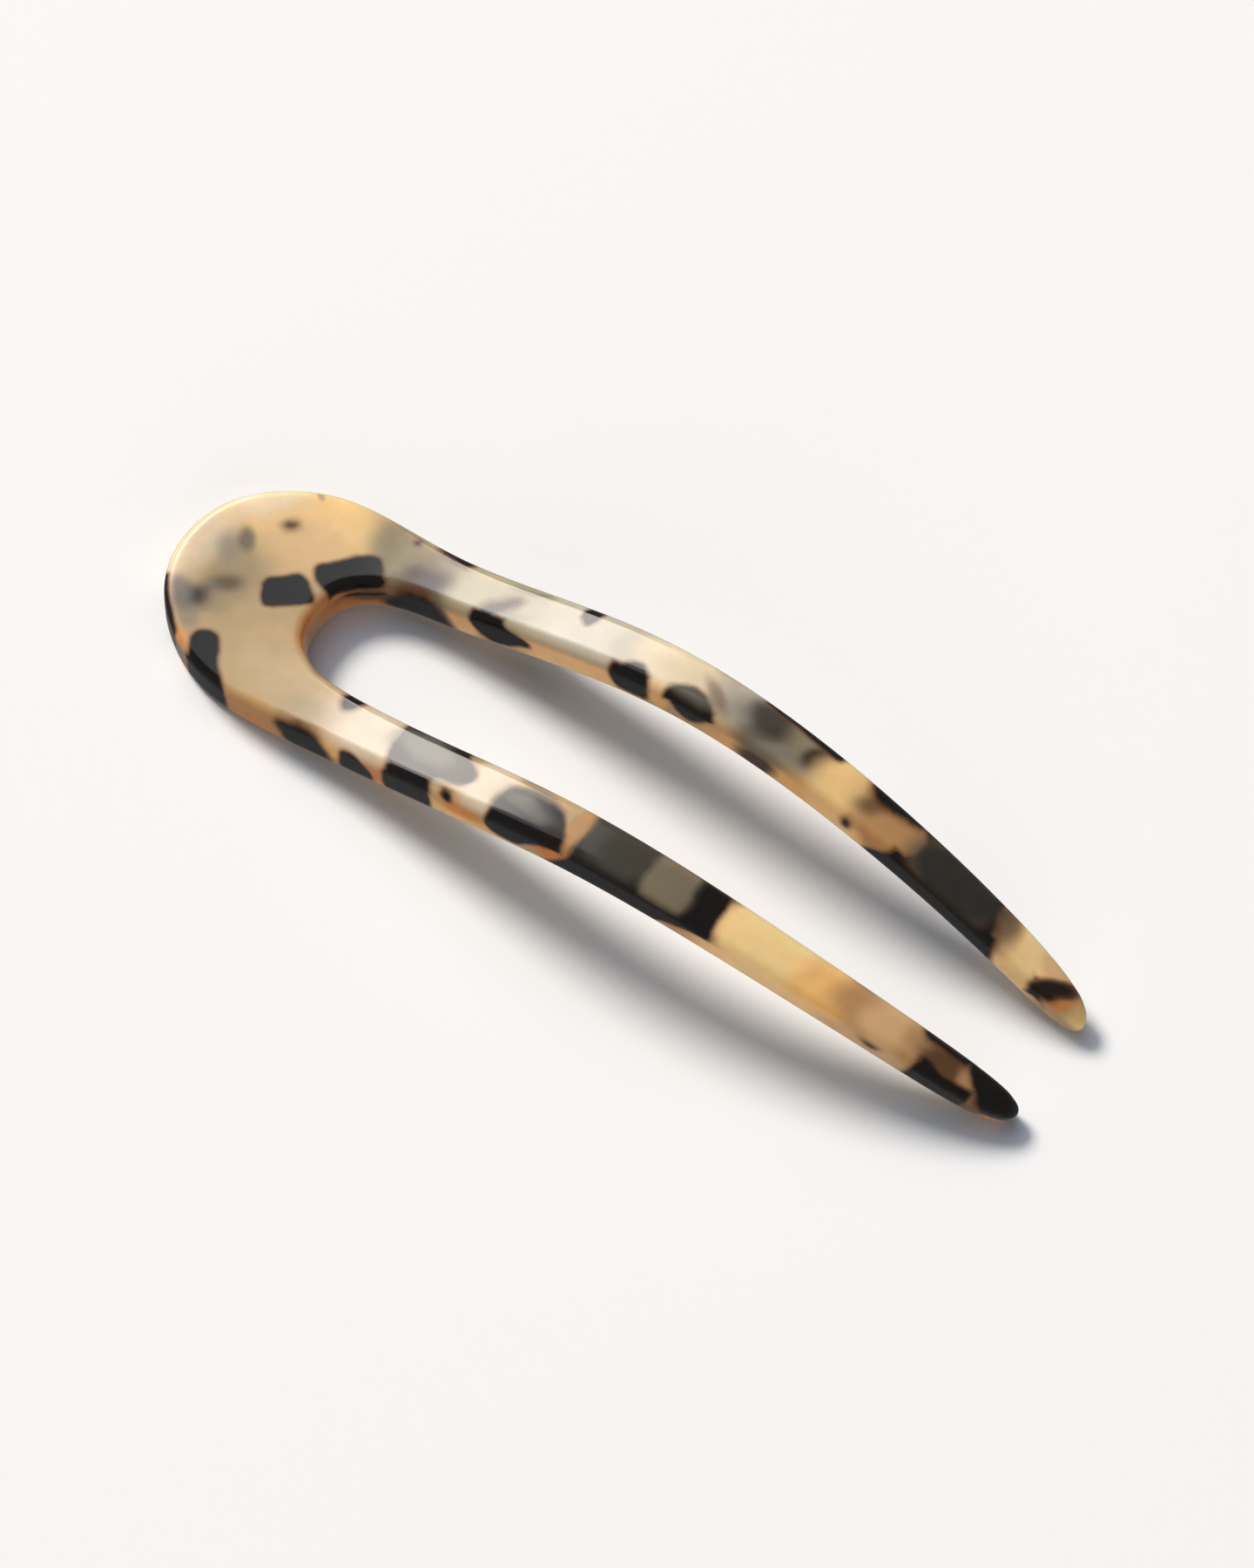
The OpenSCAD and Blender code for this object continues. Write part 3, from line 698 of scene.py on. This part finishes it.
BENT_SHEET_STEPS = (
    # The two ends of the point's ring, one on each edge of the flat sheet
    ("place", "GeometryNodeInputPosition", {}, ()),
    ("edge point", CARRIED, WHOLES, {"Name": "edge_point"}),
    ("outer guide", GUIDE, {}, {"Object": "Outer Edge"}),
    ("inner guide", GUIDE, {}, {"Object": "Inner Edge"}),
    ("outer points", GUIDE_POINTS, {"mode": "EVALUATED"}, {"Curve": "outer guide.Geometry"}),
    ("inner points", GUIDE_POINTS, {"mode": "EVALUATED"}, {"Curve": "inner guide.Geometry"}),
    ("outer end", SAMPLE, TRIPLES, {"Geometry": "outer points", "Value": "place", "Index": "edge point"}),
    ("inner end", SAMPLE, TRIPLES, {"Geometry": "inner points", "Value": "place", "Index": "edge point"}),
    ("sum of ends", VECTORS, "ADD", ("outer end", "inner end")),
    ("centre", VECTORS, "SCALE", {0: "sum of ends", "Scale": 0.5}),
    ("band", VECTORS, "SUBTRACT", ("outer end", "inner end")),
    ("way across", VECTORS, "NORMALIZE", ("band",)),
    ("band width", VECTORS, "LENGTH", ("band",)),
    ("half width", MATHS, "MULTIPLY", ("band width", 0.5)),
    ("centre parts", SPLIT, {}, ("centre",)),

    # Half the sheet's thickness at the ring, rounded off at a tip
    ("half length", MATHS, "MULTIPLY", ("Pin Length", 0.5)),
    ("from back", MATHS, "ADD", ("centre parts.X", "half length")),
    ("share", MATHS, "DIVIDE", ("from back", "Pin Length")),
    ("share squared", MATHS, "MULTIPLY", ("share", "share")),
    ("thinning", MATHS, "SUBTRACT", ("Tip Thickness", "Sheet Thickness")),
    ("thickness", MATHS, "MULTIPLY_ADD", ("share squared", "thinning", "Sheet Thickness")),
    ("half thickness", MATHS, "MULTIPLY", ("thickness", 0.5)),
    ("to the end", MATHS, "SUBTRACT", ("half length", "centre parts.X")),
    ("roundings to the end", MATHS, "DIVIDE", ("to the end", "Tip Rounding")),
    ("into the rounding", MATHS, "SUBTRACT", (1.0, "roundings to the end")),
    ("past its start", MATHS, "MAXIMUM", ("into the rounding", 0.0)),
    ("past squared", MATHS, "MULTIPLY", ("past its start", "past its start")),
    ("rounding squared", MATHS, "SUBTRACT", (1.0, "past squared")),
    ("rounding", MATHS, "SQRT", ("rounding squared",)),
    ("half sheet", MATHS, "MULTIPLY", ("half thickness", "rounding")),

    # The point's place on the ring, across from its centre and above the sheet's middle
    ("slimmest", MATHS, "MINIMUM", ("half width", "half sheet")),
    ("most radius", MATHS, "MULTIPLY", ("slimmest", 0.9)),
    ("radius", MATHS, "MINIMUM", ("Edge Radius", "most radius")),
    ("corner across", CARRIED, FLOATS, {"Name": "corner_across"}),
    ("corner up", CARRIED, FLOATS, {"Name": "corner_up"}),
    ("turn across", CARRIED, FLOATS, {"Name": "turn_across"}),
    ("turn up", CARRIED, FLOATS, {"Name": "turn_up"}),
    ("corner reach", MATHS, "SUBTRACT", ("half width", "radius")),
    ("corner rise", MATHS, "SUBTRACT", ("half sheet", "radius")),
    ("turned across", MATHS, "MULTIPLY", ("turn across", "radius")),
    ("turned up", MATHS, "MULTIPLY", ("turn up", "radius")),
    ("across", MATHS, "MULTIPLY_ADD", ("corner across", "corner reach", "turned across")),
    ("above", MATHS, "MULTIPLY_ADD", ("corner up", "corner rise", "turned up")),
    ("offset", VECTORS, "SCALE", {0: "way across", "Scale": "across"}),
    ("flat", VECTORS, "ADD", ("centre", "offset")),
    ("flat parts", SPLIT, {}, ("flat",)),
    ("side", CARRIED, FLOATS, {"Name": "side"}),
    ("flat across", MATHS, "MULTIPLY", ("flat parts.Y", "side")),

    # Places in the flat sheet and distances from its edges and top, in mm, for the acetate's chart
    ("sheet place", "ShaderNodeCombineXYZ", {}, ("flat parts.X", "flat across", "above")),
    ("sheet mm", VECTORS, "SCALE", {0: "sheet place", "Scale": 1000.0}),
    ("from outer", MATHS, "SUBTRACT", ("half width", "across")),
    ("from inner", MATHS, "ADD", ("half width", "across")),
    ("from top", MATHS, "SUBTRACT", ("half sheet", "above")),
    ("inset place", "ShaderNodeCombineXYZ", {}, ("from outer", "from inner", "from top")),
    ("inset mm", VECTORS, "SCALE", {0: "inset place", "Scale": 1000.0}),
    ("charted once", STORE, TRIPLES, {"Geometry": "Skin", "Name": "sheet", "Value": "sheet mm"}),
    ("charted", STORE, TRIPLES, {"Geometry": "charted once", "Name": "insets", "Value": "inset mm"}),

    # The bend: the middle line at that place, between the two points of it that lie nearest
    ("line guide", GUIDE, {}, {"Object": "Middle Line"}),
    ("line", GUIDE_POINTS, {"mode": "EVALUATED"}, {"Curve": "line guide.Geometry"}),
    ("line size", "GeometryNodeAttributeDomainSize", {"component": "POINTCLOUD"}, ("line",)),
    ("last point", MATHS, "SUBTRACT", ("line size.Point Count", 1.0)),
    ("flat from back", MATHS, "ADD", ("flat parts.X", "half length")),
    ("flat share", MATHS, "DIVIDE", ("flat from back", "Pin Length")),
    ("pace", MATHS, "MULTIPLY", ("flat share", "last point")),
    ("whole pace", MATHS, "FLOOR", ("pace",)),
    ("not before it", MATHS, "MAXIMUM", ("whole pace", 0.0)),
    ("last start", MATHS, "SUBTRACT", ("last point", 1.0)),
    ("start", MATHS, "MINIMUM", ("not before it", "last start")),
    ("stop", MATHS, "ADD", ("start", 1.0)),
    ("between", MATHS, "SUBTRACT", ("pace", "start")),
    ("start place", SAMPLE, TRIPLES, {"Geometry": "line", "Value": "place", "Index": "start"}),
    ("stop place", SAMPLE, TRIPLES, {"Geometry": "line", "Value": "place", "Index": "stop"}),
    ("start way", SAMPLE, TRIPLES, {"Geometry": "line", "Value": "line.Tangent", "Index": "start"}),
    ("stop way", SAMPLE, TRIPLES, {"Geometry": "line", "Value": "line.Tangent", "Index": "stop"}),
    ("place step", VECTORS, "SUBTRACT", ("stop place", "start place")),
    ("way step", VECTORS, "SUBTRACT", ("stop way", "start way")),
    ("line place", VECTORS, "MULTIPLY_ADD", ("place step", "between", "start place")),
    ("line way", VECTORS, "MULTIPLY_ADD", ("way step", "between", "start way")),
    ("way parts", SPLIT, {}, ("line way",)),
    ("place parts", SPLIT, {}, ("line place",)),
    ("lean", MATHS, "MULTIPLY", ("way parts.Z", "above")),
    ("lift", MATHS, "MULTIPLY", ("way parts.X", "above")),
    ("bent along", MATHS, "SUBTRACT", ("place parts.X", "lean")),
    ("bent up", MATHS, "ADD", ("place parts.Z", "lift")),
    ("bent place", "ShaderNodeCombineXYZ", {}, ("bent along", "flat across", "bent up")),
    ("bent", "GeometryNodeSetPosition", {}, {"Geometry": "charted", "Position": "bent place"}),

    # Lowered so that its lowest point meets the surface it lies on
    ("parts of place", SPLIT, {}, ("place",)),
    ("heights", "GeometryNodeAttributeStatistic", FLOATS,
     {"Geometry": "bent", "Attribute": "parts of place.Z"}),
    ("drop", MATHS, "MULTIPLY", ("heights.Min", -1.0)),
    ("drop place", "ShaderNodeCombineXYZ", {}, {"Z": "drop"}),
    ("lowered", "GeometryNodeSetPosition", {}, {"Geometry": "bent", "Offset": "drop place"}),
    ("smooth", "GeometryNodeSetShadeSmooth", {}, {"Geometry": "lowered"}),
    ("realized", "GeometryNodeRealizeInstances", {}, {"Geometry": "smooth"}),
    ("pin", "GeometryNodeSetMaterial", {}, {"Geometry": "realized", "Material": "Acetate"}),
    ("result", "NodeGroupOutput", {}, ("pin",)),
)


def bent_sheet_tree():
    """Node tree that wraps the closed skin round the flat sheet's edges and bends it."""
    tree = bpy.data.node_groups.new("Bent Sheet", "GeometryNodeTree")
    for name, kind in BENT_SHEET_INPUTS:
        tree.interface.new_socket(name, in_out="INPUT", socket_type=kind)
    tree.interface.new_socket("Pin", in_out="OUTPUT", socket_type="NodeSocketGeometry")
    given = tree.nodes.new("NodeGroupInput")
    known = {output.name: output for output in given.outputs if output.name}
    for step in BENT_SHEET_STEPS:
        add_node(tree, known, *step)
    return tree


# A range's inputs 1 to 4 are its ends before and after, and a mix's 0, 6 and 7 its factor and colours
NOISE = "ShaderNodeTexNoise"
RANGE = "ShaderNodeMapRange"
SOFT_RANGE = {"interpolation_type": "SMOOTHSTEP"}
COLOUR_MIX = {"data_type": "RGBA"}
ATTRIBUTE = "ShaderNodeAttribute"

# Polished cellulose acetate: a translucent light mass with a soft inner glow, dark chips with thin
# brown rims, and a smooth clear gloss
ACETATE_STEPS = (
    ("sheet", ATTRIBUTE, {"attribute_name": "sheet"}, ()),
    ("chip", ATTRIBUTE, {"attribute_name": "chip"}, ()),
    ("window", ATTRIBUTE, {"attribute_name": "window"}, ()),
    ("tint", ATTRIBUTE, {"attribute_name": "tint"}, ()),

    # Swirls of the light mass, 8 mm and 2 mm across
    ("swirl", NOISE, {}, {"Vector": "sheet.Vector", "Scale": 0.12, "Detail": 3.0, "Distortion": 0.8}),
    ("streak", NOISE, {}, {"Vector": "sheet.Vector", "Scale": 0.5, "Detail": 2.0}),
    ("swirl shade", RANGE, {}, {"Value": "swirl.Fac", 1: 0.3, 2: 0.7, 3: 0.93, 4: 1.05}),
    ("streak shade", RANGE, {}, {"Value": "streak.Fac", 1: 0.3, 2: 0.7, 3: 0.96, 4: 1.03}),
    ("shade", MATHS, "MULTIPLY", ("swirl shade", "streak shade")),
    ("mass", VECTORS, "SCALE", {0: "tint.Color", "Scale": "shade"}),

    # Rims of the chips wander by some hundredths of a millimetre more
    ("rim noise", NOISE, {}, {"Vector": "sheet.Vector", "Scale": 1.1, "Detail": 2.0, "Roughness": 0.45}),
    ("rim wander", RANGE, {}, {"Value": "rim noise.Fac", 1: 0.25, 2: 0.75, 3: -0.05, 4: 0.05}),
    ("chip edge", MATHS, "ADD", ("chip.Fac", "rim wander")),
    ("rim cover", RANGE, SOFT_RANGE, {"Value": "chip edge", 1: -0.55, 2: 0.1, 3: 0.0, 4: 0.75}),
    ("chip cover", RANGE, SOFT_RANGE, {"Value": "chip edge", 1: -0.2, 2: 0.25, 3: 0.0, 4: 1.0}),
    ("clouded cover", MATHS, "MULTIPLY", ("chip cover", "window.Fac")),
    ("dark cover", MATHS, "SUBTRACT", ("chip cover", "clouded cover")),
    ("near window", RANGE, {}, {"Value": "window.Fac", 1: 0.0, 2: 0.3, 3: 0.0, 4: 1.0}),
    ("veiled rim", MATHS, "MULTIPLY", ("rim cover", "near window")),
    ("brown cover", MATHS, "SUBTRACT", ("rim cover", "veiled rim")),
    ("rimmed", "ShaderNodeMix", COLOUR_MIX, {0: "brown cover", 6: "mass", 7: "rim colour"}),
    ("colour", "ShaderNodeMix", COLOUR_MIX, {0: "dark cover", 6: "rimmed.Result", 7: "chip colour"}),

    # Hand polish leaves the gloss a little uneven
    ("polish", NOISE, {}, {"Vector": "sheet.Vector", "Scale": 0.35, "Detail": 2.0}),
    ("roughness", RANGE, {}, {"Value": "polish.Fac", 1: 0.3, 2: 0.7, 3: 0.10, 4: 0.16}),
    ("surface", "ShaderNodeBsdfPrincipled", {"subsurface_method": "RANDOM_WALK"}, {
        "Base Color": "colour.Result", "Roughness": "roughness", "IOR": 1.48, "Subsurface Weight": 1.0,
        "Subsurface Radius": (1.0, 0.6, 0.3), "Subsurface Scale": 0.004}),
    ("out", "ShaderNodeOutputMaterial", {}, ("surface",)),
)


def new_material(name, colours, steps):
    """A material built from steps, which may feed on the colours by their names."""
    material = bpy.data.materials.new(name)
    material.use_nodes = True
    material.node_tree.nodes.clear()
    known = {label: (*colour, 1.0) for label, colour in colours.items()}
    for step in steps:
        add_node(material.node_tree, known, *step)
    return material


def vectors_of(mesh, name):
    """Vectors of one of a mesh's attributes, as rows."""
    data = mesh.attributes[name].data
    values = np.empty(len(data) * 3)
    data.foreach_get("vector", values)
    return values.reshape(-1, 3)


def chart_skin(mesh):
    """Store the chart on the bent skin for the acetate, and drop what only the tree needed."""
    chip, window, tint = chart_sheet(vectors_of(mesh, "sheet"), vectors_of(mesh, "insets"))
    for name in (*SKIN_COLUMNS, "insets"):
        mesh.attributes.remove(mesh.attributes[name])
    mesh.attributes.new("chip", "FLOAT", "POINT").data.foreach_set("value", chip)
    mesh.attributes.new("window", "FLOAT", "POINT").data.foreach_set("value", window)
    colours = mesh.color_attributes.new("tint", "FLOAT_COLOR", "POINT")
    colours.data.foreach_set("color", np.column_stack([tint, np.ones(len(tint))]).ravel())


class HAIRPIN_OT_pin(bpy.types.Operator):
    """Build the hair pin as one closed piece of polished tortoiseshell acetate"""
    bl_idname = "hairpin.pin"
    bl_label = "Hair Pin"

    def execute(self, context):
        sizes, looks = context.scene.hair_pin_sizes, context.scene.hair_pin_looks
        outer, inner = edge_controls(sizes)
        guides = {
            "Outer Edge": guide_curve("outer_edge", outer, EDGE_RESOLUTION),
            "Inner Edge": guide_curve("inner_edge", inner, EDGE_RESOLUTION),
            "Middle Line": guide_curve("middle_line", bend_controls(sizes), BEND_RESOLUTION),
        }
        acetate = new_material(
            "tortoiseshell_acetate",
            {"chip colour": looks.chip_colour, "rim colour": looks.rim_colour}, ACETATE_STEPS)
        edge_points = EDGE_RESOLUTION * (len(outer) - 1)
        pin = bpy.data.objects.new("tortoiseshell_hair_pin", closed_skin(edge_points))
        context.scene.collection.objects.link(pin)
        wrap = pin.modifiers.new("Bent Sheet", "NODES")
        wrap.node_group = bent_sheet_tree()
        values = {
            **guides,
            "Pin Length": sizes.pin_length,
            "Sheet Thickness": sizes.sheet_thickness,
            "Tip Thickness": sizes.tip_thickness,
            "Edge Radius": sizes.edge_radius,
            "Tip Rounding": sizes.tip_rounding,
            "Acetate": acetate,
        }
        for item in wrap.node_group.interface.items_tree:
            if item.name in values:
                wrap[item.identifier] = values[item.name]
        context.view_layer.update()
        graph = context.evaluated_depsgraph_get()
        mesh = bpy.data.meshes.new_from_object(pin.evaluated_get(graph), depsgraph=graph)
        pin.modifiers.remove(wrap)
        pin.data = mesh
        for guide in guides.values():
            bpy.data.objects.remove(guide)

        if len(mesh.materials) != 1 or len(mesh.polygons) == 0:
            raise RuntimeError("the bent sheet came out empty")
        chart_skin(mesh)
        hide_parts("hair_pin")
        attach(pin, "root")
        return {"FINISHED"}


# Smooth matt paper: plain and pale, with no gloss of its own
FLOOR_STEPS = (
    ("place", "ShaderNodeTexCoord", {}, ()),
    ("mottle", NOISE, {}, {"Vector": "place.Object", "Scale": 3.0, "Detail": 2.0}),
    ("shade", RANGE, {}, {"Value": "mottle.Fac", 1: 0.3, 2: 0.7, 3: 0.995, 4: 1.0}),
    ("colour", "ShaderNodeMix", COLOUR_MIX, {0: "shade", 6: (0.0, 0.0, 0.0, 1.0), 7: "floor colour"}),
    ("surface", "ShaderNodeBsdfPrincipled", {}, {
        "Base Color": "colour.Result", "Roughness": 1.0, "Specular IOR Level": 0.0}),
    ("out", "ShaderNodeOutputMaterial", {}, ("surface",)),
)

# Half of a side of the floor, in m, wide enough to fill the view
FLOOR_HALF = 4.0

# Softboxes, all at one distance: (name, azimuth from +X and elevation, half angles that the pin sees
# them under, across and up, in degrees, radiance, colour, work). One that "lights" does everything,
# one that "brightens" stays out of the gloss, one that "shines" shows in the gloss alone, and one
# that "fills" brightens without a shadow of its own.
LIGHT_DISTANCE = 8.0
SOFTBOXES = (
    ("key_softbox", 165.5, 41.0, 10.0, 8.0, 43.2, "#fff9f1", "brightens"),
    ("wide_softbox", 156.0, 44.0, 28.0, 20.0, 0.95, "#ffffff", "lights"),
    ("high_softbox", 156.0, 52.0, 34.0, 26.0, 0.48, "#e2eeff", "brightens"),
    ("key_card", 168.0, 37.5, 13.0, 7.5, 3.6, "#ffffff", "shines"),
    ("low_card", 148.0, 30.5, 11.0, 6.5, 3.8, "#fff0e2", "shines"),
    ("middle_card", 148.0, 35.0, 13.0, 9.0, 2.6, "#fff6ee", "shines"),
    ("upper_card", 148.0, 37.5, 15.0, 11.5, 1.8, "#ffffff", "shines"),
    ("front_fill", -40.0, 22.0, 40.0, 20.0, 1.22, "#fbfbff", "brightens"),
    ("ceiling_fill", 120.0, 74.0, 30.0, 30.0, 0.50, "#c0daff", "fills"),
)
# Strength of the pale surround, which shows in the gloss alone
WORLD_LIGHT = 0.21

# The camera's azimuth from +X and elevation in degrees, its distance in m, how far its line of sight
# passes the origin, to the right and above in m, and its lens in mm
CAMERA_AZIMUTH = -54.95
CAMERA_ELEVATION = 59.89
CAMERA_DISTANCE = 0.7
CAMERA_OFFSET = (0.001886, 0.002579)
CAMERA_LENS = 153.6


def direction(azimuth, elevation):
    """Unit vector at an azimuth from +X and an elevation, in degrees."""
    azimuth, elevation = math.radians(azimuth), math.radians(elevation)
    level = math.cos(elevation)
    return Vector((math.cos(azimuth) * level, math.sin(azimuth) * level, math.sin(elevation)))


def looking_back(way):
    """Rotation of a camera or light that stands in that direction and looks at the origin."""
    return way.to_track_quat("Z", "Y")


class HAIRPIN_OT_stage(bpy.types.Operator):
    """Build the pale floor, the soft lights and the camera"""
    bl_idname = "hairpin.stage"
    bl_label = "Stage"

    def execute(self, context):
        scene = context.scene
        looks = scene.hair_pin_looks
        mesh = bpy.data.meshes.new("floor")
        corners = [(x * FLOOR_HALF, y * FLOOR_HALF, 0) for x, y in ((-1, -1), (1, -1), (1, 1), (-1, 1))]
        mesh.from_pydata(corners, [], [(0, 1, 2, 3)])
        floor = bpy.data.objects.new("floor", mesh)
        mesh.materials.append(new_material("matt_paper", {"floor colour": looks.floor_colour}, FLOOR_STEPS))
        # The polished walls mirror the dim surround, as in a dark room, and not the bright paper
        floor.visible_glossy = False
        scene.collection.objects.link(floor)

        for name, azimuth, elevation, wide, high, radiance, colour, work in SOFTBOXES:
            half_width = LIGHT_DISTANCE * math.tan(math.radians(wide))
            half_height = LIGHT_DISTANCE * math.tan(math.radians(high))
            light = bpy.data.lights.new(name, "AREA")
            light.shape = "ELLIPSE"
            light.size, light.size_y = 2 * half_width, 2 * half_height
            # A flat light sends out pi times its radiance from each part of its area
            light.energy = radiance * math.pi * math.pi * half_width * half_height
            light.color = linear_colour(colour)
            light.use_shadow = work != "fills"
            lamp = bpy.data.objects.new(name, light)
            lamp.visible_diffuse = work != "shines"
            lamp.visible_glossy = work in ("lights", "shines")
            lamp.visible_camera = False
            way = direction(azimuth, elevation)
            lamp.location = way * LIGHT_DISTANCE
            lamp.rotation_mode = "QUATERNION"
            lamp.rotation_quaternion = looking_back(way)
            scene.collection.objects.link(lamp)

        world = bpy.data.worlds.new("studio")
        world.use_nodes = True
        world.node_tree.nodes["Background"].inputs["Color"].default_value = (1, 1, 1, 1)
        world.node_tree.nodes["Background"].inputs["Strength"].default_value = WORLD_LIGHT
        world.cycles_visibility.diffuse = False
        scene.world = world
        scene.view_settings.view_transform = "Standard"

        lens = bpy.data.cameras.new("camera")
        lens.lens = CAMERA_LENS
        lens.sensor_width = 36.0
        lens.sensor_height = 36.0
        lens.sensor_fit = "AUTO"
        camera = bpy.data.objects.new("camera", lens)
        way = direction(CAMERA_AZIMUTH, CAMERA_ELEVATION)
        turn = looking_back(way).to_matrix()
        place = way * CAMERA_DISTANCE + turn @ Vector((*CAMERA_OFFSET, 0))
        camera.matrix_world = Matrix.Translation(place) @ turn.to_4x4()
        scene.collection.objects.link(camera)
        scene.camera = camera
        return {"FINISHED"}


class HAIRPIN_PT_panel(bpy.types.Panel):
    """Lists the pin's sizes, its colours and the steps that build it"""
    bl_idname = "HAIRPIN_PT_panel"
    bl_label = "French Hair Pin"
    bl_space_type = "VIEW_3D"
    bl_region_type = "UI"
    bl_category = "Hair Pin"

    def draw(self, context):
        for group in (context.scene.hair_pin_sizes, context.scene.hair_pin_looks):
            column = self.layout.column()
            for name in group.bl_rna.properties.keys():
                if name not in ("rna_type", "name"):
                    column.prop(group, name)
        for step in OPERATORS:
            self.layout.operator(step.bl_idname)


OPERATORS = (HAIRPIN_OT_pin, HAIRPIN_OT_stage)
CLASSES = (HairPinSizes, HairPinLooks, *OPERATORS, HAIRPIN_PT_panel)


def register():
    """Register the classes and give every scene the pin's sizes and colours."""
    for cls in CLASSES:
        bpy.utils.register_class(cls)
    bpy.types.Scene.hair_pin_sizes = PointerProperty(type=HairPinSizes)
    bpy.types.Scene.hair_pin_looks = PointerProperty(type=HairPinLooks)


def unregister():
    """Undo what register does."""
    del bpy.types.Scene.hair_pin_looks
    del bpy.types.Scene.hair_pin_sizes
    for cls in reversed(CLASSES):
        bpy.utils.unregister_class(cls)


def main():
    """Build the pin and its stage."""
    register()
    bpy.ops.hairpin.pin()
    bpy.ops.hairpin.stage()


if __name__ == "__main__":
    main()
